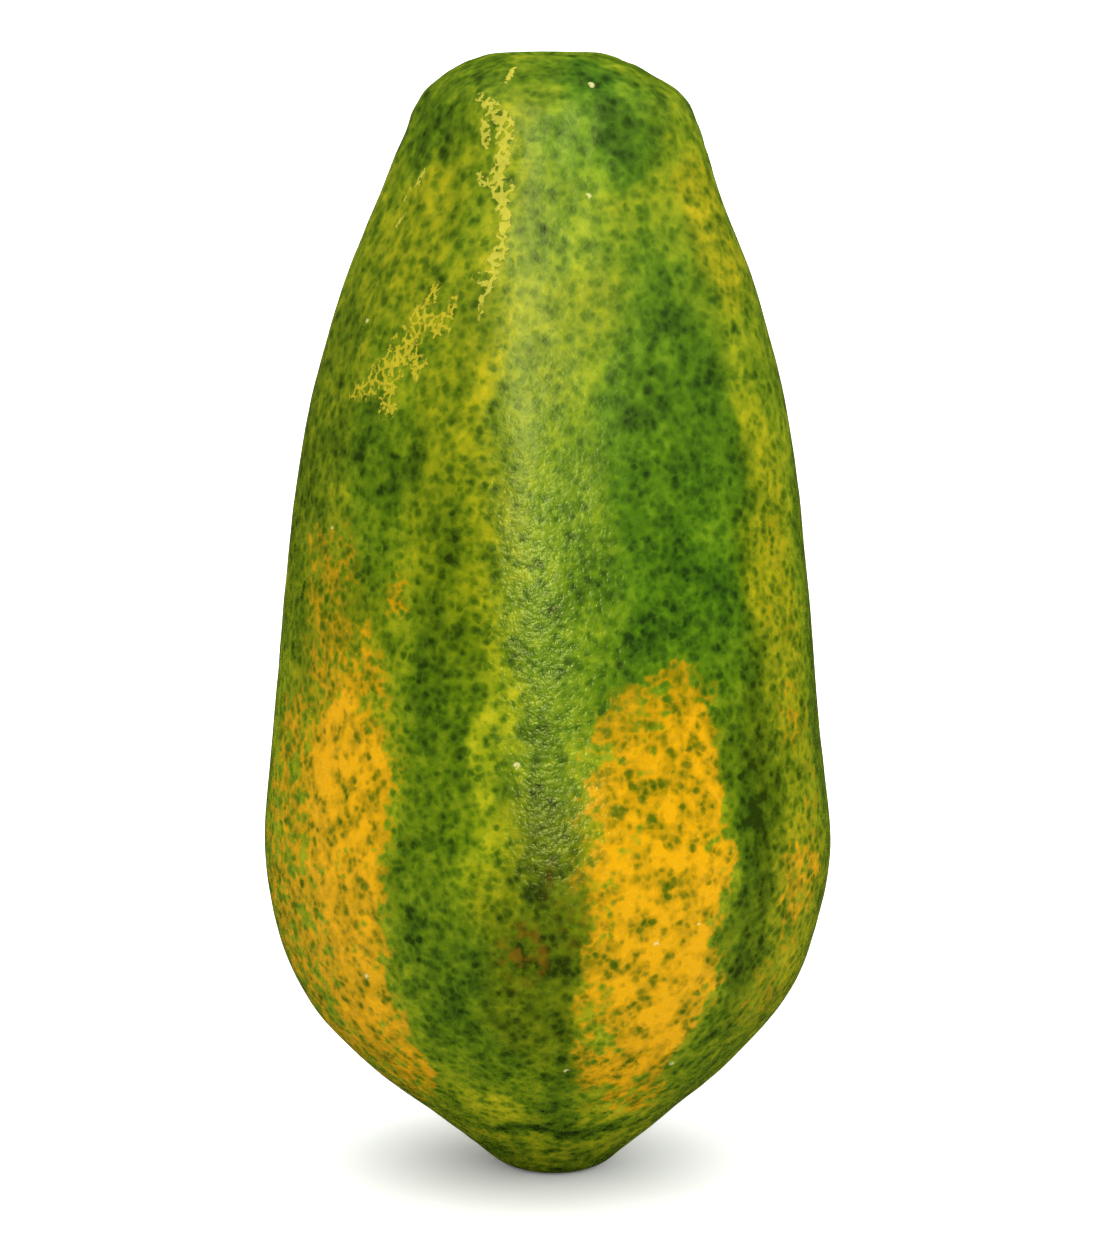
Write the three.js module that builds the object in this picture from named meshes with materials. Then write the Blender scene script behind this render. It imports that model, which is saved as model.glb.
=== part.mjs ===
// A whole papaya, standing on its blossom end. It is one solid: skin and flesh grew as one piece.
// Millimetres, +Z up. The origin is the middle of the small flat spot that the fruit rests on.
// The side in the photograph looks along -Y, and bearings are counted from it towards +X.
import * as THREE from "three";

// Driving dimensions
const HEIGHT = 250.8;
const WIDTH = 127;
const FLAT_RADIUS = 9.5;
const SCAR_RADIUS = 6.6;

// Half width of the fruit up its side, as [share of HEIGHT, share of WIDTH / 2].
// It runs from the flat spot over the cone of the blossom end, the belly and the neck to the stem end.
const FLANK = [
  [0.0055, 0.199],
  [0.02, 0.269],
  [0.06, 0.455],
  [0.115, 0.699],
  [0.17, 0.867],
  [0.23, 0.958],
  [0.3, 1.0],
  [0.42, 0.958],
  [0.56, 0.902],
  [0.688, 0.825],
  [0.798, 0.704],
  [0.877, 0.582],
  [0.927, 0.512],
  [0.962, 0.451],
  [0.982, 0.354],
  [0.993, 0.27],
];

// How far the fruit's axis leans towards +X, as [share of HEIGHT, millimetres].
const SWAY = [
  [0, 0],
  [0.15, -1.6],
  [0.35, -0.5],
  [0.65, -0.3],
  [0.85, 0.1],
  [0.95, 0.8],
  [1, -1],
];

// Five soft ridges run the length of the fruit, with flatter faces between them.
// These are their bearings in degrees at the belly and the neck. The last is the first again.
const RIDGES = [-86, -16, 64, 136, 206, 274];

// How far the ridges turn towards +X on their way, as [share of HEIGHT, degrees].
const RIDGE_DRIFT = [
  [0, 26],
  [0.1, 20],
  [0.25, 8],
  [0.42, 1],
  [0.6, 0],
  [0.9, -1],
  [1, -14],
];
const RIDGE_CREST = 0.3; // how much narrower the crests are than the faces
const RIDGE_BELLY = 0.013; // share of the radius that a crest stands out at the belly
const RIDGE_SHOULDER = 0.022; // and how much more at the shoulder
const RIDGE_FROM = 0.12; // share of HEIGHT where the ridges have risen out of the blossom end

// The rim round the stem's hollow, and the hollow with the corky scar of the cut stem in it.
const RIM_RADIUS = 10.6;
const HOLLOW_RADIUS = 7.2;
const HOLLOW_DEPTH = 3.4;
const SCAR_STEP = 0.8;
const SCAR_DOME = 0.4;
const PITH_RADIUS = 1.6;
const PITH_DEPTH = 0.9;

// Faces round the fruit and up its side.
const ROUND = 80;
const UP = 50;

// A straight run of values through [place, value] pairs, eased at each pair.
function eased(pairs, at) {
  const next = pairs.findIndex(([place]) => place >= at);
  if (next < 0) return pairs[pairs.length - 1][1];
  if (next === 0) return pairs[0][1];
  const [from, low] = pairs[next - 1];
  const [to, high] = pairs[next];
  return low + (high - low) * THREE.MathUtils.smoothstep(at, from, to);
}

// The fruit's half section, from the middle of the flat spot up to the middle of the stem scar.
function halfSection() {
  const side = new THREE.CatmullRomCurve3(
    [
      new THREE.Vector3(FLAT_RADIUS, 0, 0),
      ...FLANK.map(([up, out]) => new THREE.Vector3((out * WIDTH) / 2, up * HEIGHT, 0)),
      new THREE.Vector3(RIM_RADIUS, HEIGHT, 0),
      new THREE.Vector3(HOLLOW_RADIUS + 0.9, HEIGHT - HOLLOW_DEPTH * 0.6, 0),
      new THREE.Vector3(HOLLOW_RADIUS, HEIGHT - HOLLOW_DEPTH, 0),
    ],
    false,
    "centripetal",
  );
  const scarTop = HEIGHT - HOLLOW_DEPTH + SCAR_STEP;
  const scar = [
    new THREE.Vector2(SCAR_RADIUS, scarTop),
    new THREE.Vector2((SCAR_RADIUS + PITH_RADIUS) / 2, scarTop + SCAR_DOME),
    new THREE.Vector2(PITH_RADIUS, scarTop + SCAR_DOME),
    new THREE.Vector2(0, scarTop + SCAR_DOME - PITH_DEPTH),
  ];
  const sidePoints = side.getPoints(UP).map((p) => new THREE.Vector2(p.x, p.y));
  return [new THREE.Vector2(0, 0), ...sidePoints, ...scar];
}

// How far out the skin stands at a bearing, from about -1 on the faces to 1.3 on the ridges' crests.
function ridge(bearing, up) {
  const first = RIDGES[0];
  const drifted = THREE.MathUtils.radToDeg(bearing) - eased(RIDGE_DRIFT, up);
  const turned = first + THREE.MathUtils.euclideanModulo(drifted - first, 360);
  const next = Math.max(1, RIDGES.findIndex((crest) => crest > turned));
  const turn = (2 * Math.PI * (turned - RIDGES[next - 1])) / (RIDGES[next] - RIDGES[next - 1]);
  return Math.cos(turn) + RIDGE_CREST * Math.cos(2 * turn);
}

// The share of the radius that a ridge adds at a share of the height.
function ridgeShare(up) {
  const risen = THREE.MathUtils.smoothstep(up, 0, RIDGE_FROM);
  const towardsStem = THREE.MathUtils.clamp((up - 0.35) / 0.6, 0, 1);
  return risen * (RIDGE_BELLY + RIDGE_SHOULDER * towardsStem ** 1.5);
}

// The slow swellings of a grown fruit, in millimetres.
function swelling(bearing, up) {
  const twoFold = 0.55 * Math.sin(2 * bearing + 4 * up + 0.6);
  const threeFold = 0.4 * Math.sin(3 * bearing - 6 * up + 2.1);
  return (twoFold + threeFold) * Math.sin(Math.PI * up);
}

// Moves a point of the plain turned shape out to the ridged, slightly leaning fruit.
function grow(point) {
  const out = Math.hypot(point.x, point.y);
  const bearing = Math.atan2(point.x, -point.y);
  const up = THREE.MathUtils.clamp(point.z / HEIGHT, 0, 1);
  const grown = out * (1 + ridgeShare(up) * ridge(bearing, up)) + swelling(bearing, up) * Math.min(1, out / 20);
  point.x = grown * Math.sin(bearing) + eased(SWAY, up);
  point.y = -grown * Math.cos(bearing);
}

function fruitGeometry() {
  const geometry = new THREE.LatheGeometry(halfSection(), ROUND);
  geometry.rotateX(Math.PI / 2);
  const position = geometry.getAttribute("position");
  const point = new THREE.Vector3();
  for (let i = 0; i < position.count; i++) {
    point.fromBufferAttribute(position, i);
    grow(point);
    position.setXYZ(i, point.x, point.y, point.z);
  }
  geometry.computeVertexNormals();
  return geometry;
}

const skin = new THREE.MeshStandardMaterial({
  color: new THREE.Color(0.36, 0.47, 0.04),
  roughness: 0.45,
  metalness: 0,
});

const papaya = new THREE.Group();
const fruit = new THREE.Mesh(fruitGeometry(), skin);
fruit.name = "fruit";
papaya.add(fruit);

export default papaya;
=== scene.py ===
"""A whole papaya, standing on its blossom end on a white floor.

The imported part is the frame. Here its one solid gets a finer skin over the same form, with the
relief, the markings and the gloss of the real fruit. Lengths are millimetres until a mesh is made,
bearings are degrees from the side of the photograph towards +X, and heights are above the floor.
"""
import math

import bpy
import numpy as np
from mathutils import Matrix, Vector


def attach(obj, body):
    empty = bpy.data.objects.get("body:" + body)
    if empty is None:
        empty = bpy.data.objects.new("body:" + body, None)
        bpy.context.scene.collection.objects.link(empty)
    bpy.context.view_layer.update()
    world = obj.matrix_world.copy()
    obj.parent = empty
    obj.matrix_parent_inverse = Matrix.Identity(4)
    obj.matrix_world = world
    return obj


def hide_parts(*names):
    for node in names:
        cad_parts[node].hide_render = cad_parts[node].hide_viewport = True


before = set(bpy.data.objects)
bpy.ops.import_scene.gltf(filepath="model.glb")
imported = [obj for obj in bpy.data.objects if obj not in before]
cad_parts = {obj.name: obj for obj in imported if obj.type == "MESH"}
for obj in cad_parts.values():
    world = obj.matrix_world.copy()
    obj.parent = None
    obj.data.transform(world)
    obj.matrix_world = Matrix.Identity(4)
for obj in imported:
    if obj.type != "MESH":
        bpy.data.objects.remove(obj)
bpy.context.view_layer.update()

MM = 0.001


def srgb(red, green, blue):
    """A linear colour from an 8-bit one as the eye reads it."""
    def linear(level):
        share = level / 255
        return share / 12.92 if share <= 0.04045 else ((share + 0.055) / 1.055) ** 2.4
    return (linear(red), linear(green), linear(blue), 1)


# The form, with the same values as the part's source
HEIGHT = 250.8
WIDTH = 127
FLAT_RADIUS = 9.5
FLANK = [
    (0.0055, 0.199), (0.02, 0.269), (0.06, 0.455), (0.115, 0.699), (0.17, 0.867), (0.23, 0.958),
    (0.3, 1.0), (0.42, 0.958), (0.56, 0.902), (0.688, 0.825), (0.798, 0.704), (0.877, 0.582),
    (0.927, 0.512), (0.962, 0.451), (0.982, 0.354), (0.993, 0.27),
]
SWAY = [(0, 0), (0.15, -1.6), (0.35, -0.5), (0.65, -0.3), (0.85, 0.1), (0.95, 0.8), (1, -1)]
RIDGES = [-86, -16, 64, 136, 206, 274]
RIDGE_DRIFT = [(0, 26), (0.1, 20), (0.25, 8), (0.42, 1), (0.6, 0), (0.9, -1), (1, -14)]
RIDGE_CREST = 0.3
RIDGE_BELLY = 0.013
RIDGE_SHOULDER = 0.022
RIDGE_FROM = 0.12
SHOULDER_FROM = 0.35
SHOULDER_RISE = 0.6
SHOULDER_POWER = 1.5
RIM_RADIUS = 10.6
HOLLOW_RADIUS = 7.2
HOLLOW_DEPTH = 3.4
HOLLOW_FLARE = 0.9
HOLLOW_FLARE_AT = 0.6
SCAR_RADIUS = 6.6
SCAR_STEP = 0.8
SCAR_DOME = 0.4
PITH_RADIUS = 1.6
PITH_DEPTH = 0.9

# The slow swellings of a grown fruit, as (millimetres, how many round, turn on the way up, start),
# and the radius from which they are full
SWELLINGS = [(0.55, 2, 4, 0.6), (0.4, 3, -6, 2.1)]
SWELLING_FULL = 20

# The blossom scar under the fruit, a hollow in the flat spot, as (share of radius, share of depth)
BLOSSOM_RADIUS = 4.2
BLOSSOM_DEPTH = 1.3
BLOSSOM_HOLLOW = [(0, 1), (0.45, 0.92), (0.8, 0.5), (1, 0.12)]

# How wide the lip round it is, and how far from its edge the flat spot stops being quite flat
BLOSSOM_LIP = 1.2
FLAT_INSET = 1.5

# Steps of the half section's curve from point to point, vertices round the fruit, rings up its side,
# and how much closer the rings lie at both ends
CURVE_STEPS = 24
ROUND = 368
RINGS = 250
CROWDING = 0.105

# How square an oval of colour is, how far it reaches and how wide it fades, as shares of its half size,
# and how much of a weaker oval shows through a stronger one
OVAL_POWER = 2.6
OVAL_REACH = 1.35
OVAL_FADE = 0.7
OVERLAP = 0.25

# Where the skin has ripened to orange, as (bearing, height, half width, half height, amount)
RIPE = [
    # the left patch
    (-48, 99, 11, 14, 1.0), (-45, 70, 10, 30, 0.7), (-50, 122, 15, 9, 0.36),
    (-58, 140, 9, 15, 0.34), (-36, 140, 4, 5, 0.3), (-65, 76, 13, 38, 0.38),
    (-45, 86, 16, 34, 0.22), (-41, 40, 9, 13, 0.55), (-58, 32, 13, 11, 0.35),
    # the right patch
    (25, 66, 11, 28, 0.95), (29, 100, 8, 14, 0.95), (17, 97, 8, 15, 0.5), (12, 74, 6, 20, 0.55),
    (25, 117, 10, 8, 0.4), (18, 32, 9, 6, 0.6), (27, 42, 9, 7, 0.8), (28, 25, 12, 6, 0.3),
    (19, 96, 15, 25, 0.4), (21, 48, 16, 24, 0.35),
    # the face right of it
    (59, 72, 5, 14, 0.36), (58, 111, 4, 12, 0.22), (66, 90, 5, 22, 0.14), (57, 50, 12, 9, 0.18),
    (57, 140, 5, 14, 0.12),
    # the faces that the photograph doesn't show
    (97, 80, 13, 32, 1.0), (109, 58, 9, 20, 0.8), (91, 116, 7, 13, 0.5), (98, 140, 8, 16, 0.3),
    (172, 92, 12, 28, 0.9), (165, 60, 11, 22, 0.95), (179, 125, 8, 14, 0.45),
    (-120, 70, 13, 28, 1.0), (-111, 101, 8, 22, 0.65), (-128, 44, 10, 13, 0.55), (-122, 132, 9, 16, 0.35),
]

# Where the green is deeper than elsewhere
DEEP = [
    (-24, 92, 7, 42, 0.5), (-10, 51, 12, 16, 0.7), (2, 72, 5, 30, 0.7), (4, 32, 3, 26, 0.7),
    (-3, 90, 6, 30, 0.3), (45, 85, 7, 44, 0.8), (37, 165, 12, 42, 0.62), (22, 150, 10, 40, 0.5),
    (33, 130, 14, 16, 0.5), (-26, 132, 6, 24, 0.4), (22, 241, 14, 8, 0.8), (30, 205, 12, 10, 0.4),
    (30, 236, 16, 8, 0.4), (0, 249, 180, 4, 0.45), (0, 14.5, 40, 2.5, 1.1), (-2, 28, 10, 5, 0.5),
    (8, 130, 12, 16, 0.25), (-45, 168, 18, 12, 0.45), (-70, 236, 26, 10, 0.5), (-52, 140, 14, 18, 0.35),
    (-72, 165, 12, 40, 0.4),
    # the faces that the photograph doesn't show
    (76, 130, 6, 60, 0.5), (120, 150, 12, 60, 0.6), (146, 90, 8, 50, 0.7), (-150, 110, 9, 70, 0.7),
    (-95, 110, 8, 60, 0.6), (-170, 200, 20, 30, 0.5), (-125, 215, 16, 20, 0.5),
]

# Where it is a light yellow-green
LIME = [
    (-15, 182, 4, 58, 0.65), (-19, 226, 6, 18, 0.6), (-12, 107, 3.5, 26, 0.9), (4, 210, 10, 22, 0.25),
    (30, 217, 16, 9, 0.4), (2, 165, 9, 44, 0.15), (57, 214, 7, 22, 0.5), (54, 165, 5, 36, 0.4),
    (-20, 22, 13, 6, 1.2), (27, 19, 15, 6, 1.1), (2, 10, 60, 3.5, 0.9), (-45, 213, 14, 14, 0.35),
    (62, 120, 4, 60, 0.2),
    # the faces that the photograph doesn't show
    (136, 190, 6, 50, 0.5), (-154, 185, 6, 50, 0.5), (98, 220, 14, 12, 0.35), (172, 214, 16, 12, 0.35),
    (-118, 185, 12, 20, 0.3),
]

# Where the green is warmer (amount above 0) or cooler (below 0)
TINTS = [
    (30, 165, 16, 46, -0.65), (20, 238, 20, 12, -0.7), (6, 225, 14, 18, -0.35), (8, 150, 12, 40, -0.35),
    (0, 66, 12, 30, 0.7), (-52, 120, 16, 22, 0.5), (55, 120, 10, 50, 0.5), (-22, 165, 12, 40, 0.3),
    (-45, 215, 14, 20, 0.35), (57, 212, 9, 16, 0.6), (60, 60, 20, 25, 0.4), (44, 80, 6, 40, 0.1),
    (-70, 170, 16, 50, 0.35), (140, 120, 20, 70, -0.4), (-150, 150, 20, 60, -0.3), (105, 190, 20, 30, 0.4),
]

# A brownish blush on the ripening skin
BLUSH = [(-5, 64, 4, 5, 0.28), (6, 76, 4, 10, 0.1), (104, 90, 7, 14, 0.2)]

# Sap that dried on the skin, as runs of (bearing, height, half width in millimetres)
SAP_RUNS = [
    # the long streak and its branches
    [
        (-35, 242.5, 1.0), (-27, 240.5, 1.8), (-21, 238, 2.6), (-19.5, 234.5, 2.5),
        (-19, 230.5, 2.3), (-20.2, 227, 1.8), (-19, 224, 2.7), (-16.8, 221, 2.1),
        (-15, 217, 1.6), (-15.4, 213, 1.7), (-15, 211, 2.3), (-17.4, 209, 2.1),
        (-17, 206, 1.5), (-17.8, 203, 1.1), (-19.2, 200.4, 0.8), (-19, 198, 0.7),
    ],
    [(-29.4, 238, 1.2), (-28.8, 236, 1.8), (-26.8, 233, 1.5)],
    [(-27.5, 226, 1.1), (-21.5, 224.7, 1.7), (-15, 223.6, 1.5)],
    [(-22, 205.4, 0.9), (-18.5, 204.7, 1.0)],
    [(-23.2, 248, 0.7), (-23, 245.6, 0.8)],
    # the small drops left of it
    [(-56.8, 225.6, 1.3), (-57.6, 223.6, 1.1)],
    [(-62, 221.6, 1.0), (-62.6, 220, 0.9)],
    [(-60.4, 216.4, 1.1), (-61.2, 214.8, 0.9)],
]

# The corky net below the sap, as runs of the same kind
CORK_NET = [
    [
        (-35, 202.5, 1.6), (-38, 196, 4.0), (-42, 190, 5.0), (-46, 184.5, 6.0), (-52, 181.5, 3.6),
        (-58, 179, 1.6),
    ],
    [(-46, 184.5, 4.0), (-43, 178.5, 4.4)],
    [(-38, 196, 2.5), (-30, 194, 2.4), (-28, 200, 1.8)],
    [(-42, 190, 3.0), (-35, 186, 2.6)],
]

# Pale flecks, as (bearing, height, size in millimetres)
FLECKS = [
    (12.2, 222.9, 0.9), (21.5, 245.3, 0.9), (22.2, 65, 0.8), (30.8, 69.3, 0.6), (5, 35.7, 0.9),
    (35.2, 34.3, 0.8), (-40.8, 54.9, 0.9), (-6.4, 104.6, 0.9), (-60, 196, 0.7), (-57, 152, 0.6),
    (95, 150, 0.8), (150, 90, 0.9), (-140, 180, 0.9),
]

# How far the edges of the ovals wander, as random hills of (size, length from hill to hill, seed, how
# much longer upwards) with the size and the length in millimetres
WANDER_ASIDE = [(3.2, 17, 5, 1.6), (1.6, 7, 6, 1.4)]
WANDER_UP = [(3.6, 19, 7, 1.6), (1.8, 8, 8, 1.4)]

# The relief of the skin, as random hills of the same kind, and the dried sap, which lies on it
FLANK_RELIEF = [(0.14, 16, 11, 1.5), (0.05, 6, 12, 1.3)]
SHOULDER_RELIEF = [(0.18, 5, 13, 1.2)]
CORK_RELIEF = [(0.1, 4.5, 14, 1.0)]
SCAR_RELIEF = [(0.1, 3.2, 15, 1.0)]
SAP_THICKNESS = 0.14
SAP_STEEP = 2.5
CORK_STEEP = 2

# The radius where the flank's relief begins and the height where the shoulder's does, and over how
# many millimetres each comes in
FLANK_FROM = FLAT_RADIUS + 1
FLANK_COMES = 5
SHOULDER_HEIGHT = 222
SHOULDER_COMES = 12

# What random hills are made of: how many waves, the spread of their lengths, and the sum that is a peak
WAVE_COUNT = 18
WAVE_SPREAD = (0.6, 1.4)
WAVE_PEAK = 1.6

# The least radius that a bearing is turned into millimetres with
NARROWEST = 12

# How far outside their radius the two scars reach, and over how many millimetres they fade
STEM_REACH = 0.6
STEM_FADE = 0.8
BLOSSOM_REACH = 2.5
BLOSSOM_FADE = 4

# What grows where on the skin, in attributes of its mesh
MARKS = ("ripe", "deep", "lime", "tint", "blush", "sap", "cork", "stem", "blossom")

# The noises of the skin, as (length in millimetres, detail, roughness)
NOISES = {
    "cloud": (10, 2.0, 0.5),
    "mottle": (2.8, 1.0, 0.5),
    "grain": (0.7, 2.0, 0.6),
    "torn": (1.5, 3.0, 0.65),
    "pores": (1.2, 2.0, 0.6),
    "dimples": (2.4, 2.0, 0.5),
    "bark": (2.2, 4.0, 0.7),
}
CLUMP = (4.5, 1.0)

# How the places of clumps, dots and holes are warped, as (length, reach) in millimetres
CLUMP_WARP = (3, 2)
DOT_WARP = (1.6, 1.2)
HOLE_WARP = (1.2, 1.0)

# How ragged the edge of a patch is, how ripe a place has to be for all of that, and for its full colour
RAGGED_NOISE = {"cloud": 0.6, "clump": 1.3, "mottle": 1.6}
RAGGED_FROM = 0.3
FULLY_RIPE = 0.65

# How dark the ground between the dots is, from 0 for the lightest colour to 1 for the deepest green
RIPE_GROUND = 0.1
UNRIPE_GROUND = 0.38
DEEP_GROUND = 0.31
LIME_GROUND = -0.2
GROUND_NOISE = {"cloud": 0.5, "clump": 0.45, "mottle": 0.36, "grain": 0.06}
RIPE_CLUMPS = 0.6

# The share of the cells that have a dot in them
SHARE = 1.2
RIPE_SHARE = -0.4
DEEP_SHARE = 0.2
LIME_SHARE = -0.3
SHARE_CLUMPS = 2.8

# The net of dots, as (spacing in millimetres, size as a share of it, weight)
NET = [(2.5, 0.36, 1.0), (1.8, 0.4, 0.8), (1.1, 0.45, 0.2)]
NET_LIMIT = 1.4

# The heights between which the skin becomes that of the stem end. There the net fades, and single bold
# dots stand on it.
STEM_END = (130, 210)
NET_FADES = 0.3
BOLD = (4.2, 0.27)
BOLD_SHARE = 0.9

# The soft edge of a dot, in shares of its cell, and how gradually cells get one
DOT_EDGE = (-0.27, 0.36)
DOT_THERE = (-0.12, 0.3)

# How much a dot darkens the ground
DOT_STRENGTH = 0.25
RIPE_STRENGTH = 0.1
LIME_STRENGTH = 0.1
DEEP_STRENGTH = -0.08

# From bare ground to full green, for the ripe skin and the unripe one
RIPE_COLOURS = [
    (0.0, srgb(212, 155, 0)), (0.14, srgb(195, 145, 0)), (0.3, srgb(174, 134, 0)), (0.46, srgb(138, 118, 0)),
    (0.62, srgb(102, 102, 0)), (0.78, srgb(76, 90, 0)), (0.9, srgb(56, 76, 0)), (1.0, srgb(42, 62, 0)),
]
UNRIPE_COLOURS = [
    (0.0, srgb(180, 176, 6)), (0.18, srgb(157, 161, 4)), (0.34, srgb(132, 146, 2)), (0.5, srgb(106, 128, 2)),
    (0.64, srgb(82, 111, 1)), (0.78, srgb(62, 92, 1)), (0.9, srgb(46, 74, 1)), (1.0, srgb(30, 52, 1)),
]

# What the green is multiplied with where it is warmer or cooler
WARM = (1.35, 0.94, 0.8, 1)
COOL = (0.74, 1.0, 8.0, 1)

# Where the skin turns from its unripe colours to its ripe ones. Dots stay green for longer.
TURNS = (-0.02, 0.38)
DOTS_STAY = 0.32

# The blush, and how it grows with the mottle: from and to, and how strong it is at each
BLUSHED = srgb(134, 92, 2)
BLUSH_MOTTLE = (0.4, 0.66, 0.0, 1.8)

# The other colours, from dark to light where there are two, and how much of the skin they cover
SAP_COLOURS = (srgb(156, 152, 10), srgb(214, 200, 80))
CORK_COLOURS = (srgb(158, 142, 10), srgb(212, 190, 44))
LACE_COVER = 0.68
FLECK_COLOUR = srgb(214, 208, 140)
FLECK_COVER = 0.7
FLECK_TORN = (0.42, 0.52)
BARK_COLOURS = (srgb(84, 66, 38), srgb(168, 148, 104))

# The lace of the sap and of the cork, as (fullness, how open its holes are)
SAP_LACE = (1.05, 0.8)
CORK_LACE = (0.75, 0.95)
LACE_TORN = 2.8
LACE_EDGE = (0.12, 0.42)
LACE_INSIDE = 0.25
HOLE_SPACING = 2.1
HOLE_EDGE = (0.08, 0.26)

# How rough the skin is with its pores: from and to, and the roughness at each. Then what the stem end
# adds, and what the scars and the sap add.
PORE_ROUGHNESS = (0.3, 0.7, 0.21, 0.3)
STEM_ROUGHNESS = 0.16
DULL_ROUGHNESS = 0.35

# The fine bumps: how high they are in millimetres, and what each kind has of that
BUMP_HEIGHT = 0.17
PITS_FADE = 0.45
DIMPLE_BUMP = 0.7
LACE_BUMP = 0.8
DOT_BUMP = -0.12

# The gloss
GLOSS = {
    "IOR": 1.45,
    "Specular Tint": (1, 1, 0.3, 1),
    "Specular IOR Level": 0.5,
    "Sheen Weight": 0.05,
    "Sheen Roughness": 0.4,
    "Sheen Tint": (0.9, 1, 0.15, 1),
}

# The floor is white in the picture, and gives less light back to the underside of the fruit
FLOOR_HALF = 60000
FLOOR_SEEN = (1, 1, 1, 1)
FLOOR_LIFTED = 0.11
FLOOR_BOUNCED = (0.85, 0.85, 0.85, 1)
FLOOR_ROUGHNESS = 0.9

# How bright the room is as light, where 1 is the white of the picture
ROOM_LIGHT = 0.36

# The light from above: strength, how wide it is and how it tips, in degrees
CEILING_STRENGTH = 4.7
CEILING_ANGLE = 120
CEILING_TIPS = (8, 6)

# The strip of light in the gloss: its bearing and elevation, distance and size, and power
STRIP_BEARING = 5
STRIP_ELEVATION = 33
STRIP_DISTANCE = 1300
STRIP_SIZE = (160, 1400)
STRIP_POWER = 16

# The camera of the photograph: where it aims, how far off it is and how high
AIM_HEIGHT = 125
CAMERA_DISTANCE = 1000
CAMERA_ELEVATION = 9.5
LENS = 129.11
SENSOR = 36
PHOTO_SIZE = (1110, 1248)
AIM_PIXEL = (553.44, 620.61)


def smooth(value):
    """0 below 0, 1 above 1 and an eased rise between."""
    t = np.clip(value, 0, 1)
    return t * t * (3 - 2 * t)


def eased(pairs, at):
    """A run of values through (place, value) pairs, eased from each pair to the next."""
    places, values = np.array(pairs, float).T
    after = np.clip(np.searchsorted(places, at), 1, len(places) - 1)
    share = (at - places[after - 1]) / (places[after] - places[after - 1])
    return values[after - 1] + (values[after] - values[after - 1]) * smooth(share)


def curve_through(points, steps):
    """A centripetal Catmull-Rom curve, with that many steps between two of its points."""
    p = np.array(points, float)
    p = np.vstack([2 * p[0] - p[1], p, 2 * p[-1] - p[-2]])
    gap = np.linalg.norm(np.diff(p, axis=0), axis=1)[:, None] ** 0.5
    step = np.diff(p, axis=0)
    wide = (p[2:] - p[:-2]) / (gap[:-1] + gap[1:])
    slope = step[:-1] / gap[:-1] - wide + step[1:] / gap[1:]
    t = np.linspace(0, 1, steps, endpoint=False)[None, :, None]
    start, end = p[1:-2, None], p[2:-1, None]
    leave, arrive = (slope[:-1] * gap[1:-1])[:, None], (slope[1:] * gap[1:-1])[:, None]
    run = (
        (2 * t**3 - 3 * t**2 + 1) * start
        + (t**3 - 2 * t**2 + t) * leave
        + (3 * t**2 - 2 * t**3) * end
        + (t**3 - t**2) * arrive
    )
    return np.vstack([run.reshape(-1, 2), p[-2]])


def half_section():
    """The fruit's half section as (radius, height), from the blossom scar up to the stem scar."""
    blossom = [(BLOSSOM_RADIUS * out, BLOSSOM_DEPTH * up) for out, up in BLOSSOM_HOLLOW]
    blossom += [(BLOSSOM_RADIUS + BLOSSOM_LIP, 0), (FLAT_RADIUS - FLAT_INSET, 0)]
    flank = [(FLAT_RADIUS, 0)]
    flank += [(out * WIDTH / 2, up * HEIGHT) for up, out in FLANK]
    flank += [
        (RIM_RADIUS, HEIGHT),
        (HOLLOW_RADIUS + HOLLOW_FLARE, HEIGHT - HOLLOW_DEPTH * HOLLOW_FLARE_AT),
        (HOLLOW_RADIUS, HEIGHT - HOLLOW_DEPTH),
    ]
    scar_top = HEIGHT - HOLLOW_DEPTH + SCAR_STEP
    scar = [
        (SCAR_RADIUS, scar_top),
        ((SCAR_RADIUS + PITH_RADIUS) / 2, scar_top + SCAR_DOME),
        (PITH_RADIUS, scar_top + SCAR_DOME),
        (0, scar_top + SCAR_DOME - PITH_DEPTH),
    ]
    return np.vstack([blossom, curve_through(flank, CURVE_STEPS), scar])


def spaced(section):
    """The half section again, as RINGS points that lie closer together at both ends."""
    along = np.concatenate([[0], np.cumsum(np.linalg.norm(np.diff(section, axis=0), axis=1))])
    share = np.linspace(0, 1, RINGS)
    share = share - CROWDING * np.sin(2 * np.pi * share) * np.abs(np.cos(np.pi * share)) ** 0.5
    at = along[-1] * share
    return np.stack([np.interp(at, along, section[:, k]) for k in (0, 1)], axis=1), at


def ridge(bearing, up):
    """How far out the skin stands, from about -1 on the faces to 1.3 on the ridges' crests."""
    crests = np.array(RIDGES, float)
    turned = crests[0] + (bearing - eased(RIDGE_DRIFT, up) - crests[0]) % 360
    after = np.clip(np.searchsorted(crests, turned, side="right"), 1, len(crests) - 1)
    turn = 2 * np.pi * (turned - crests[after - 1]) / (crests[after] - crests[after - 1])
    return np.cos(turn) + RIDGE_CREST * np.cos(2 * turn)


def grown(bearing, out, height):
    """The point of the ridged, slightly leaning fruit for a point of the plain turned shape."""
    up = np.clip(height / HEIGHT, 0, 1)
    turn = np.radians(bearing)
    towards_stem = np.clip((up - SHOULDER_FROM) / SHOULDER_RISE, 0, 1) ** SHOULDER_POWER
    share = smooth(up / RIDGE_FROM) * (RIDGE_BELLY + RIDGE_SHOULDER * towards_stem)
    swelling = sum(
        size * np.sin(folds * turn + twist * up + start) for size, folds, twist, start in SWELLINGS
    )
    swelling = swelling * np.sin(np.pi * up) * np.minimum(1, out / SWELLING_FULL)
    radius = out * (1 + share * ridge(bearing, up)) + swelling
    return np.stack([radius * np.sin(turn) + eased(SWAY, up), -radius * np.cos(turn), height], axis=-1)


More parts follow.
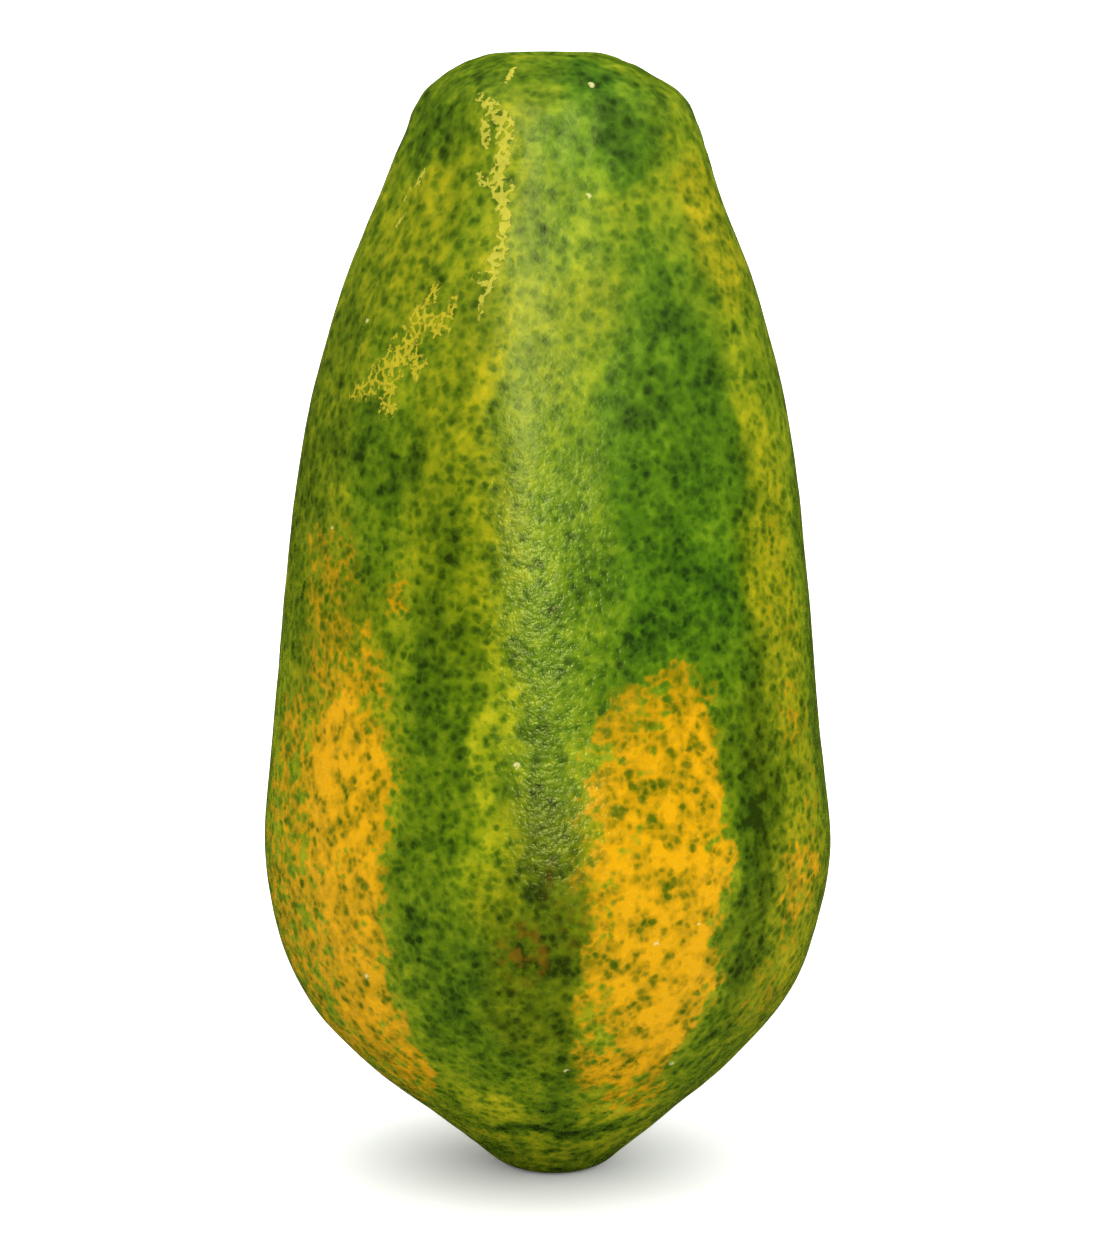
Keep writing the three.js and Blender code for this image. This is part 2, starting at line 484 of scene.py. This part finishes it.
def waves(points, length, seed, stretch):
    """Smooth random hills and hollows from -1 to 1, about that many millimetres from hill to hill."""
    rng = np.random.default_rng(seed)
    towards = rng.normal(size=(WAVE_COUNT, 3))
    towards /= np.linalg.norm(towards, axis=1)[:, None]
    towards[:, 2] /= stretch
    towards *= (2 * np.pi / length) * rng.uniform(*WAVE_SPREAD, (WAVE_COUNT, 1))
    phase = rng.uniform(0, 2 * np.pi, WAVE_COUNT)
    total = np.zeros(points.shape[:-1])
    for k in range(WAVE_COUNT):
        total += np.sin(points @ towards[k] + phase[k])
    return np.clip(total / np.sqrt(WAVE_COUNT) / WAVE_PEAK, -1, 1)


def hills(points, table):
    """The sum of a table's random hills."""
    return sum(size * waves(points, length, seed, stretch) for size, length, seed, stretch in table)


def oval(bearing, height, at):
    """1 inside an oval (bearing, height, half width, half height, amount), fading across its edge."""
    centre, level, wide, tall, amount = at
    aside = ((bearing - centre + 180) % 360 - 180) / wide
    above = (height - level) / tall
    away = (np.abs(aside) ** OVAL_POWER + np.abs(above) ** OVAL_POWER) ** (1 / OVAL_POWER)
    return amount * smooth((OVAL_REACH - away) / OVAL_FADE)


def painted(bearing, height, ovals):
    """Several ovals together. Where they lie over each other the strongest shows, a little raised."""
    total = np.zeros_like(height)
    for at in ovals:
        one = oval(bearing, height, at)
        total = np.maximum(total, one) + OVERLAP * np.minimum(total, one)
    return total


def near_run(bearing, height, radius, run):
    """How deep a point lies in a run of (bearing, height, half width): 1 in its middle, 0 at its edge."""
    best = np.zeros_like(height)
    for (b0, z0, w0), (b1, z1, w1) in zip(run, run[1:]):
        x = np.radians(bearing - b0) * radius
        along = np.radians(b1 - b0) * radius
        rise = z1 - z0
        t = np.clip((x * along + (height - z0) * rise) / (along**2 + rise**2), 0, 1)
        away = np.hypot(x - t * along, height - z0 - t * rise)
        best = np.maximum(best, 1 - away / (w0 + (w1 - w0) * t))
    return np.clip(best, 0, 1)


def markings(points, bearing, out):
    """How strongly each kind of marking grows at each point. Only the tint goes below 0."""
    height = points[..., 2]
    radius = np.maximum(out, NARROWEST)

    # Ovals are looked up a little off their place, so that their edges wander.
    placed = bearing + np.degrees(hills(points, WANDER_ASIDE) / radius)
    raised = height + hills(points, WANDER_UP)

    stem_edge = (HOLLOW_RADIUS + STEM_REACH - out) / STEM_FADE
    blossom_edge = (BLOSSOM_RADIUS + BLOSSOM_REACH - out) / BLOSSOM_FADE
    ripe, deep, lime, blush = (painted(placed, raised, ovals) for ovals in (RIPE, DEEP, LIME, BLUSH))
    tint = sum(oval(placed, raised, at) for at in TINTS)
    sap = np.max([near_run(bearing, height, radius, run) for run in SAP_RUNS], axis=0)
    cork = np.max([near_run(bearing, height, radius, run) for run in CORK_NET], axis=0)
    stem = smooth(stem_edge) * (height > HEIGHT / 2)
    blossom = smooth(blossom_edge) * (height < HEIGHT / 2)
    return dict(zip(MARKS, (ripe, deep, lime, tint, blush, sap, cork, stem, blossom)))


def relief(points, out, marks):
    """How far each point stands out of the plain form, in millimetres."""
    flank = smooth((out - FLANK_FROM) / FLANK_COMES)
    shoulder = smooth((points[..., 2] - SHOULDER_HEIGHT) / SHOULDER_COMES) * flank
    stands = flank * hills(points, FLANK_RELIEF) + shoulder * hills(points, SHOULDER_RELIEF)
    stands += SAP_THICKNESS * smooth(marks["sap"] * SAP_STEEP)
    stands += smooth(marks["cork"] * CORK_STEEP) * hills(points, CORK_RELIEF)
    return stands + marks["stem"] * (out > PITH_RADIUS) * hills(points, SCAR_RELIEF)


def outward(points):
    """The normals of a grid of points."""
    round_step = np.roll(points, -1, axis=1) - np.roll(points, 1, axis=1)
    up_step = np.gradient(points, axis=0)
    normal = np.cross(round_step, up_step)
    return normal / np.maximum(np.linalg.norm(normal, axis=-1), 1e-9)[..., None]


def fleck_places(height, skin_points):
    """Each fleck as its place on the skin and its size, in metres. The heights are of the plain form."""
    places = []
    for turn, up, size in FLECKS:
        column = int((turn + 180) / 360 * ROUND)
        rings = np.nonzero(np.diff(np.sign(height[:, column] - up)))[0]
        places.append((Vector(skin_points[rings[0], column] * MM), size * MM))
    return places


def per_vertex(grid):
    """A grid's values for the vertices of the mesh, where the first and the last ring are one each."""
    inner = grid[1:-1].reshape(-1, *grid.shape[2:])
    return np.concatenate([grid[0].mean(axis=0)[None], inner, grid[-1].mean(axis=0)[None]])


def skin_faces():
    """Quads between the rings, and a fan of triangles at each end."""
    inner = RINGS - 2
    number = 1 + np.arange(inner * ROUND).reshape(inner, ROUND)
    beside = np.roll(number, -1, axis=1)
    quads = np.stack([number[:-1], beside[:-1], beside[1:], number[1:]], axis=-1).reshape(-1, 4)
    low_fan = np.stack([np.zeros(ROUND, int), beside[0], number[0]], axis=-1)
    top_fan = np.stack([number[-1], beside[-1], np.full(ROUND, number[-1, -1] + 1)], axis=-1)
    return low_fan.tolist() + quads.tolist() + top_fan.tolist()


def unroll(mesh, upward):
    """Lays the skin out flat: round the fruit across, and along the half section up."""
    across = np.arange(ROUND) / ROUND
    beyond = across + 1 / ROUND
    middle = (across + beyond) / 2
    low, high = upward[1:-2], upward[2:-1]
    across_parts = [
        np.stack([middle, beyond, across], axis=-1),
        np.tile(np.stack([across, beyond, beyond, across], axis=-1), (RINGS - 3, 1)),
        np.stack([across, beyond, middle], axis=-1),
    ]
    upward_parts = [
        np.tile(upward[[0, 1, 1]], (ROUND, 1)),
        np.repeat(np.stack([low, low, high, high], axis=-1), ROUND, axis=0),
        np.tile(upward[[-2, -2, -1]], (ROUND, 1)),
    ]
    u, v = (np.concatenate([part.ravel() for part in parts]) for parts in (across_parts, upward_parts))
    mesh.uv_layers.new(name="OFBake").data.foreach_set("uv", np.stack([u, v], axis=-1).ravel())


def fruit_mesh():
    """The fruit's fine skin as a mesh, with its markings as attributes, and the places of its flecks."""
    section, along = spaced(half_section())
    turns = np.linspace(-180, 180, ROUND, endpoint=False)
    bearing, out = np.meshgrid(turns, section[:, 0])
    points = grown(bearing, out, np.repeat(section[:, 1:2], ROUND, axis=1))
    marks = markings(points, bearing, out)
    skin_points = points + relief(points, out, marks)[..., None] * outward(points)
    skin_points[..., 2] = np.maximum(skin_points[..., 2], 0)

    mesh = bpy.data.meshes.new("fruit_skin")
    mesh.from_pydata((per_vertex(skin_points) * MM).tolist(), [], skin_faces())
    unroll(mesh, along / along[-1])
    for name, grid in marks.items():
        values = per_vertex(grid).astype(np.float32)
        mesh.attributes.new(name, "FLOAT", "POINT").data.foreach_set("value", values)
    mesh.shade_smooth()
    mesh.update()
    return mesh, fleck_places(points[..., 2], skin_points)


class Nodes:
    """Short ways to add the nodes that a material here is made of."""

    def __init__(self, name):
        self.material = bpy.data.materials.new(name)
        self.material.use_nodes = True
        self.tree = self.material.node_tree
        self.shader = self.tree.nodes["Principled BSDF"]

    def add(self, kind, settings=None, **inputs):
        node = self.tree.nodes.new("ShaderNode" + kind)
        for name, value in (settings or {}).items():
            setattr(node, name, value)
        for name, value in inputs.items():
            self.put(node.inputs[name.replace("_", " ")], value)
        return node

    def put(self, socket, value):
        if isinstance(value, bpy.types.NodeSocket):
            self.tree.links.new(value, socket)
        else:
            socket.default_value = value

    def maths(self, operation, *values, clamp=False):
        node = self.add("Math", {"operation": operation, "use_clamp": clamp})
        for socket, value in zip(node.inputs, values):
            self.put(socket, value)
        return node.outputs[0]

    def times(self, value, by, clamp=False):
        return self.maths("MULTIPLY", value, by, clamp=clamp)

    def line(self, value, by, start):
        """start + by * value."""
        return self.maths("MULTIPLY_ADD", value, by, start)

    def larger(self, value, other):
        return self.maths("MAXIMUM", value, other)

    def total(self, first, *others):
        for other in others:
            first = self.maths("ADD", first, other)
        return first

    def centred(self, value, by):
        """A noise of 0 to 1 as one that lies round 0, with that much gain."""
        return self.line(value, by, -0.5 * by)

    def blended(self, noise, gains):
        """Several noises together, each centred on 0 with its own gain."""
        return self.total(*(self.centred(noise[name], by) for name, by in gains.items()))

    def rise(self, value, low, high, to_low=0.0, to_high=1.0):
        """An eased rise as value goes from low to high."""
        node = self.add("MapRange", {"interpolation_type": "SMOOTHSTEP"})
        names = ("Value", "From Min", "From Max", "To Min", "To Max")
        for name, number in zip(names, (value, low, high, to_low, to_high)):
            self.put(node.inputs[name], number)
        return node.outputs["Result"]

    def mix(self, share, first, second, blend="MIX"):
        node = self.add("Mix", {"data_type": "RGBA", "blend_type": blend})
        self.put(node.inputs[0], share)
        self.put(node.inputs[6], first)
        self.put(node.inputs[7], second)
        return node.outputs[2]

    def ramp(self, value, stops):
        node = self.add("ValToRGB")
        bar = node.color_ramp.elements
        while len(bar) < len(stops):
            bar.new(0.5)
        for stop, (place, colour) in zip(bar, stops):
            stop.position = place
            stop.color = colour
        self.put(node.inputs["Fac"], value)
        return node.outputs["Color"]

    def attribute(self, name):
        return self.add("Attribute", {"attribute_name": name}).outputs["Fac"]

    def noise(self, vector, millimetres, detail, roughness=0.5):
        scale = 1 / (millimetres * MM)
        node = self.add("TexNoise", Vector=vector, Scale=scale, Detail=detail, Roughness=roughness)
        return node.outputs["Fac"]

    def cells(self, vector, millimetres, feature="F1"):
        return self.add("TexVoronoi", {"feature": feature}, Vector=vector, Scale=1 / (millimetres * MM))

    def warp(self, vector, millimetres, by):
        """A place moved about by a noise that many millimetres long."""
        noise = self.add("TexNoise", Vector=vector, Scale=1 / (millimetres * MM), Detail=1.0)
        moved = self.add("VectorMath", {"operation": "MULTIPLY_ADD"})
        for socket, value in zip(moved.inputs, (noise.outputs["Color"], (by * MM,) * 3, vector)):
            self.put(socket, value)
        return moved.outputs[0]

    def dots(self, vector, spacing, size, share):
        """Soft dots of 0 to 1, at most one in a cell of that spacing. share is how many cells have one."""
        cells = self.cells(vector, spacing)
        pick = self.add("SeparateColor", Color=cells.outputs["Color"])
        radius = self.line(pick.outputs[1], size * 0.8, size * 0.6)
        dot = self.rise(self.maths("SUBTRACT", radius, cells.outputs["Distance"]), *DOT_EDGE)
        there = self.rise(self.maths("SUBTRACT", share, pick.outputs[0]), *DOT_THERE)
        return self.times(dot, there)

    def lace(self, field, torn, hole, fullness, holes):
        """Ragged lace of 0 to 1 where the field is above 0."""
        body = self.total(self.times(field, fullness), self.centred(torn, LACE_TORN))
        body = self.total(body, self.times(hole, -holes))
        return self.times(self.rise(body, *LACE_EDGE), self.rise(field, 0.0, LACE_INSIDE))

    def specks(self, places, warped):
        """1 within each (place, size) and 0 elsewhere, on a place that is warped as the dots' is."""
        middle = Vector((0.5, 0.5, 0.5)) * DOT_WARP[1] * MM
        found = 0.0
        for at, size in places:
            away = self.add("VectorMath", {"operation": "DISTANCE"})
            self.put(away.inputs[0], warped)
            away.inputs[1].default_value = at + middle
            found = self.larger(found, self.rise(away.outputs["Value"], size, size * 0.5))
        return found


def skin_material(flecks):
    """The skin. Its colours, its gloss and its fine bumps follow the markings on the mesh."""
    nodes = Nodes("papaya_skin")
    place = nodes.add("TexCoord").outputs["Object"]
    ripe, deep, lime, tint, blush, sap, cork, stem, blossom = (nodes.attribute(name) for name in MARKS)
    noise = {name: nodes.noise(place, *shape) for name, shape in NOISES.items()}
    noise["clump"] = nodes.noise(nodes.warp(place, *CLUMP_WARP), *CLUMP)
    up = nodes.add("SeparateXYZ", Vector=place).outputs["Z"]
    towards_stem = nodes.rise(up, *(height * MM for height in STEM_END))

    # How ripe a place is, with the ragged edge that a patch has
    turning = nodes.line(nodes.blended(noise, RAGGED_NOISE), nodes.rise(ripe, 0.0, RAGGED_FROM), ripe)
    ripened = nodes.rise(turning, 0.0, FULLY_RIPE)
    unripe = nodes.maths("SUBTRACT", 1.0, ripened)

    # The ground between the dots
    ground = nodes.total(
        nodes.line(unripe, UNRIPE_GROUND, RIPE_GROUND),
        nodes.times(deep, DEEP_GROUND),
        nodes.times(lime, LIME_GROUND),
        nodes.blended(noise, GROUND_NOISE),
        nodes.times(ripened, nodes.centred(noise["clump"], RIPE_CLUMPS)),
    )

    # The net of dots. Its place is slightly warped, so that no dot is a clean circle.
    warped = nodes.warp(place, *DOT_WARP)
    share = nodes.total(
        nodes.line(ripe, RIPE_SHARE, SHARE),
        nodes.times(deep, DEEP_SHARE),
        nodes.times(lime, LIME_SHARE),
        nodes.centred(noise["clump"], SHARE_CLUMPS),
    )
    net = nodes.total(*(
        nodes.times(nodes.dots(warped, spacing, size, share), weight) for spacing, size, weight in NET
    ))

    # Bold dots on the fading net, and how dark it all is
    bold = nodes.dots(warped, *BOLD, nodes.times(towards_stem, BOLD_SHARE))
    faded = nodes.times(nodes.maths("MINIMUM", net, NET_LIMIT), nodes.line(towards_stem, -NET_FADES, 1.0))
    strength = nodes.total(
        nodes.line(ripened, RIPE_STRENGTH, DOT_STRENGTH),
        nodes.times(lime, LIME_STRENGTH),
        nodes.times(deep, DEEP_STRENGTH),
    )
    darker = nodes.times(nodes.total(faded, bold), strength)
    green = nodes.maths("ADD", ground, darker, clamp=True)

    # The unripe and the ripe skin, and the blush on it
    warmth = nodes.mix(nodes.rise(tint, -1, 1), COOL, WARM)
    unripe_colour = nodes.mix(1.0, nodes.ramp(green, UNRIPE_COLOURS), warmth, "MULTIPLY")
    yellowed = nodes.rise(nodes.line(net, -DOTS_STAY, turning), *TURNS)
    colour = nodes.mix(yellowed, unripe_colour, nodes.ramp(green, RIPE_COLOURS))
    flushed = nodes.times(blush, nodes.rise(noise["mottle"], *BLUSH_MOTTLE), clamp=True)
    colour = nodes.mix(flushed, colour, BLUSHED)

    # Dried sap and the corky net, both as ragged lace
    torn = noise["torn"]
    cells = nodes.cells(nodes.warp(place, *HOLE_WARP), HOLE_SPACING, "DISTANCE_TO_EDGE")
    hole = nodes.rise(cells.outputs["Distance"], *HOLE_EDGE)
    crust = nodes.lace(sap, torn, hole, *SAP_LACE)
    corky_net = nodes.lace(cork, torn, hole, *CORK_LACE)
    colour = nodes.mix(nodes.times(crust, LACE_COVER), colour, nodes.mix(torn, *SAP_COLOURS))
    colour = nodes.mix(nodes.times(corky_net, LACE_COVER), colour, nodes.mix(torn, *CORK_COLOURS))

    # Pale flecks with torn edges, and the corky scars at both ends
    pale = nodes.times(nodes.specks(flecks, warped), nodes.rise(torn, *FLECK_TORN))
    colour = nodes.mix(nodes.times(pale, FLECK_COVER), colour, FLECK_COLOUR)
    scarred = nodes.larger(stem, blossom)
    colour = nodes.mix(scarred, colour, nodes.mix(noise["bark"], *BARK_COLOURS))
    nodes.put(nodes.shader.inputs["Base Color"], colour)

    # Pores break up the gloss, and the stem end, the scars and the sap are duller
    pores = noise["pores"]
    rough = nodes.total(nodes.rise(pores, *PORE_ROUGHNESS), nodes.times(towards_stem, STEM_ROUGHNESS))
    rough = nodes.line(nodes.larger(scarred, crust), DULL_ROUGHNESS, rough)
    nodes.put(nodes.shader.inputs["Roughness"], rough)
    for name, value in GLOSS.items():
        nodes.shader.inputs[name].default_value = value

    # The fine bumps
    height = nodes.total(
        nodes.times(pores, nodes.line(towards_stem, -PITS_FADE, 1.0)),
        nodes.times(noise["dimples"], DIMPLE_BUMP),
        nodes.times(nodes.larger(crust, corky_net), LACE_BUMP),
        nodes.times(net, DOT_BUMP),
    )
    bump = nodes.add("Bump", Strength=1.0, Distance=BUMP_HEIGHT * MM, Height=height)
    nodes.put(nodes.shader.inputs["Normal"], bump.outputs["Normal"])
    return nodes.material


def in_scene(name, data):
    """A new object in the scene."""
    made = bpy.data.objects.new(name, data)
    bpy.context.scene.collection.objects.link(made)
    return made


def look_from(made, bearing, elevation, distance):
    """Puts a lamp or the camera that far off, turned to the middle of the fruit."""
    turn, tilt = math.radians(bearing), math.radians(elevation)
    back = Vector((math.sin(turn) * math.cos(tilt), -math.cos(turn) * math.cos(tilt), math.sin(tilt)))
    made.location = Vector((0, 0, AIM_HEIGHT * MM)) + back * distance * MM
    made.rotation_euler = back.to_track_quat("Z", "Y").to_euler()


def floor():
    """The plain white floor, which isn't part of the fruit."""
    half = FLOOR_HALF * MM
    corners = [(x * half, y * half, 0) for x, y in ((-1, -1), (1, -1), (1, 1), (-1, 1))]
    mesh = bpy.data.meshes.new("floor")
    mesh.from_pydata(corners, [], [(0, 1, 2, 3)])
    nodes = Nodes("floor")
    shader = nodes.shader
    shader.inputs["Roughness"].default_value = FLOOR_ROUGHNESS
    shader.inputs["Specular IOR Level"].default_value = 0.0
    shader.inputs["Emission Color"].default_value = FLOOR_SEEN
    rays = nodes.add("LightPath")
    colour = nodes.mix(rays.outputs["Is Diffuse Ray"], FLOOR_SEEN, FLOOR_BOUNCED)
    nodes.put(shader.inputs["Base Color"], colour)
    nodes.put(shader.inputs["Emission Strength"], nodes.times(rays.outputs["Is Camera Ray"], FLOOR_LIFTED))
    mesh.materials.append(nodes.material)
    made = in_scene("floor", mesh)
    made.visible_glossy = False


def white_room():
    """A white room: plain white behind the fruit, and soft light all round it that its gloss doesn't show."""
    world = bpy.data.worlds.new("white_room")
    world.use_nodes = True
    bpy.context.scene.world = world
    tree = world.node_tree
    backdrop = tree.nodes["Background"]
    backdrop.inputs["Color"].default_value = (1, 1, 1, 1)
    rays = tree.nodes.new("ShaderNodeLightPath")
    seen = tree.nodes.new("ShaderNodeMath")
    seen.operation = "MAXIMUM"
    seen.inputs[1].default_value = ROOM_LIGHT
    tree.links.new(rays.outputs["Is Camera Ray"], seen.inputs[0])
    tree.links.new(seen.outputs[0], backdrop.inputs["Strength"])
    world.cycles_visibility.glossy = False
    bpy.context.scene.view_settings.view_transform = "Standard"


def ceiling_light():
    """A very soft light from above, even over the whole floor."""
    lamp = bpy.data.lights.new("ceiling", "SUN")
    lamp.energy = CEILING_STRENGTH
    lamp.angle = math.radians(CEILING_ANGLE)
    made = in_scene("ceiling", lamp)
    made.rotation_euler = (*(math.radians(tip) for tip in CEILING_TIPS), 0)
    made.visible_glossy = False


def strip_light():
    """A tall narrow lamp that only the gloss of the fruit shows."""
    lamp = bpy.data.lights.new("front_strip", "AREA")
    lamp.shape = "RECTANGLE"
    lamp.size, lamp.size_y = (length * MM for length in STRIP_SIZE)
    lamp.energy = STRIP_POWER
    made = in_scene("front_strip", lamp)
    made.visible_diffuse = False
    look_from(made, STRIP_BEARING, STRIP_ELEVATION, STRIP_DISTANCE)


def camera():
    """The photograph's camera. The shift brings the aim to its place in the picture."""
    data = bpy.data.cameras.new("camera")
    data.lens = LENS
    data.sensor_width = SENSOR
    data.shift_x = (PHOTO_SIZE[0] / 2 - AIM_PIXEL[0]) / max(PHOTO_SIZE)
    data.shift_y = (AIM_PIXEL[1] - PHOTO_SIZE[1] / 2) / max(PHOTO_SIZE)
    made = in_scene("camera", data)
    look_from(made, 0, CAMERA_ELEVATION, CAMERA_DISTANCE)
    bpy.context.scene.camera = made


skin, pale_flecks = fruit_mesh()
fruit = in_scene("papaya", skin)
skin.materials.append(skin_material(pale_flecks))
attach(fruit, "root")
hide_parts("fruit")

floor()
camera()
white_room()
ceiling_light()
strip_light()
